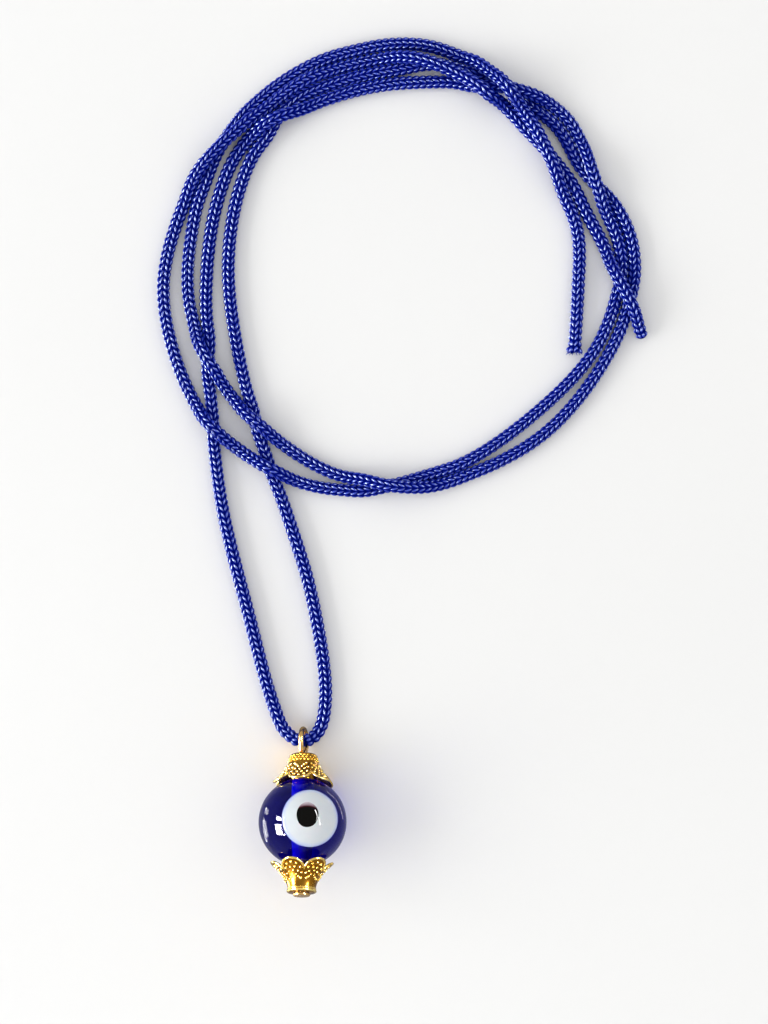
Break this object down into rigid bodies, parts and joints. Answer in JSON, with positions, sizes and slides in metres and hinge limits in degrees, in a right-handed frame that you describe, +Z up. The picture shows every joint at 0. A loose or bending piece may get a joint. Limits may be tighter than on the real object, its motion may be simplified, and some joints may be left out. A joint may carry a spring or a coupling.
{
  "type": "evil eye ornament",
  "caption": "Glass evil eye bead between two flower-shaped metal bead caps on a looped head pin, which swings on a long knitted cord that lies in two loose rounds.",
  "frame": {"origin": "centre of the bottom of the pendant's bounding box, on the table, cord left out", "axes": "+Y along the pendant from the pin's head to its loop and on to the cord, +Z up from the table, +X to the right of the eye"},
  "size_m": [0.0681, 0.1176, 0.0121],
  "materials": {
    "cord": "knitted rayon cord with a silky sheen",
    "pin_metal": "smooth gold plated wire",
    "cap_metal": "gold plated casting with fine granulation",
    "blue_glass": "polished translucent cobalt glass",
    "white_glass": "polished opaque glass",
    "black_glass": "polished opaque glass"
  },
  "bodies": {
    "cord": {"cord_left": "cord", "cord_right": "cord"},
    "pin": {"head_pin": "pin_metal"},
    "bead": {"glass_bead": "blue_glass", "eye_white": "white_glass", "eye_pupil": "black_glass"},
    "top_cap": {"top_bead_cap": "cap_metal"},
    "bottom_cap": {"bottom_bead_cap": "cap_metal"}
  },
  "joints": [
    {"name": "pendant_swing", "type": "hinge", "parent": "cord", "child": "pin", "pos_m": [0, 0.0093, 0.00195], "axis": [-1, 0, 0], "range_deg": [0, 120]},
    {"name": "bead_spin", "type": "hinge", "parent": "pin", "child": "bead", "pos_m": [0, -0.00136, 0.006], "axis": [0, 0.9348, -0.3553], "continuous": true},
    {"name": "top_cap_spin", "type": "hinge", "parent": "pin", "child": "top_cap", "pos_m": [0, 0.00537, 0.00344], "axis": [0, 0.9348, -0.3553], "continuous": true},
    {"name": "bottom_cap_spin", "type": "hinge", "parent": "pin", "child": "bottom_cap", "pos_m": [0, -0.00846, 0.0087], "axis": [0, 0.9348, -0.3553], "continuous": true}
  ]
}
